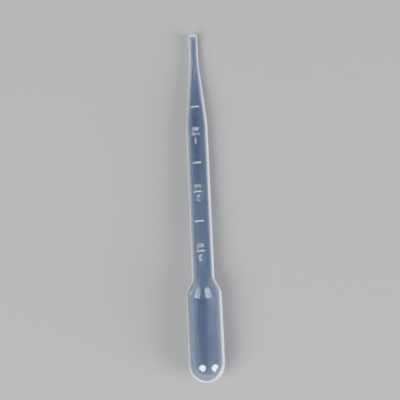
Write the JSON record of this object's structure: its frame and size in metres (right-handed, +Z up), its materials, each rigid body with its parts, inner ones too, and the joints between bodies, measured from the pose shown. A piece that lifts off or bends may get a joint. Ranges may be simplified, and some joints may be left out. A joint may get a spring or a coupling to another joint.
{
  "type": "dropper pipette",
  "caption": "One-piece graduated plastic dropper pipette: a thin nose, a long cone, a graduated stem and a round-ended squeeze bulb.",
  "frame": {"origin": "middle of the footprint, on the surface that the pipette lies on", "axes": "+Z up, +Y towards the mouth, -Y towards the squeeze bulb, +X to the right seen from above with the mouth at the top"},
  "size_m": [0.0146, 0.1552, 0.0149],
  "materials": {
    "milky_polyethylene": "translucent, softly glossy, milky blue-white low-density polyethylene"
  },
  "bodies": {
    "root": {"pipette": "milky_polyethylene"}
  },
  "joints": []
}
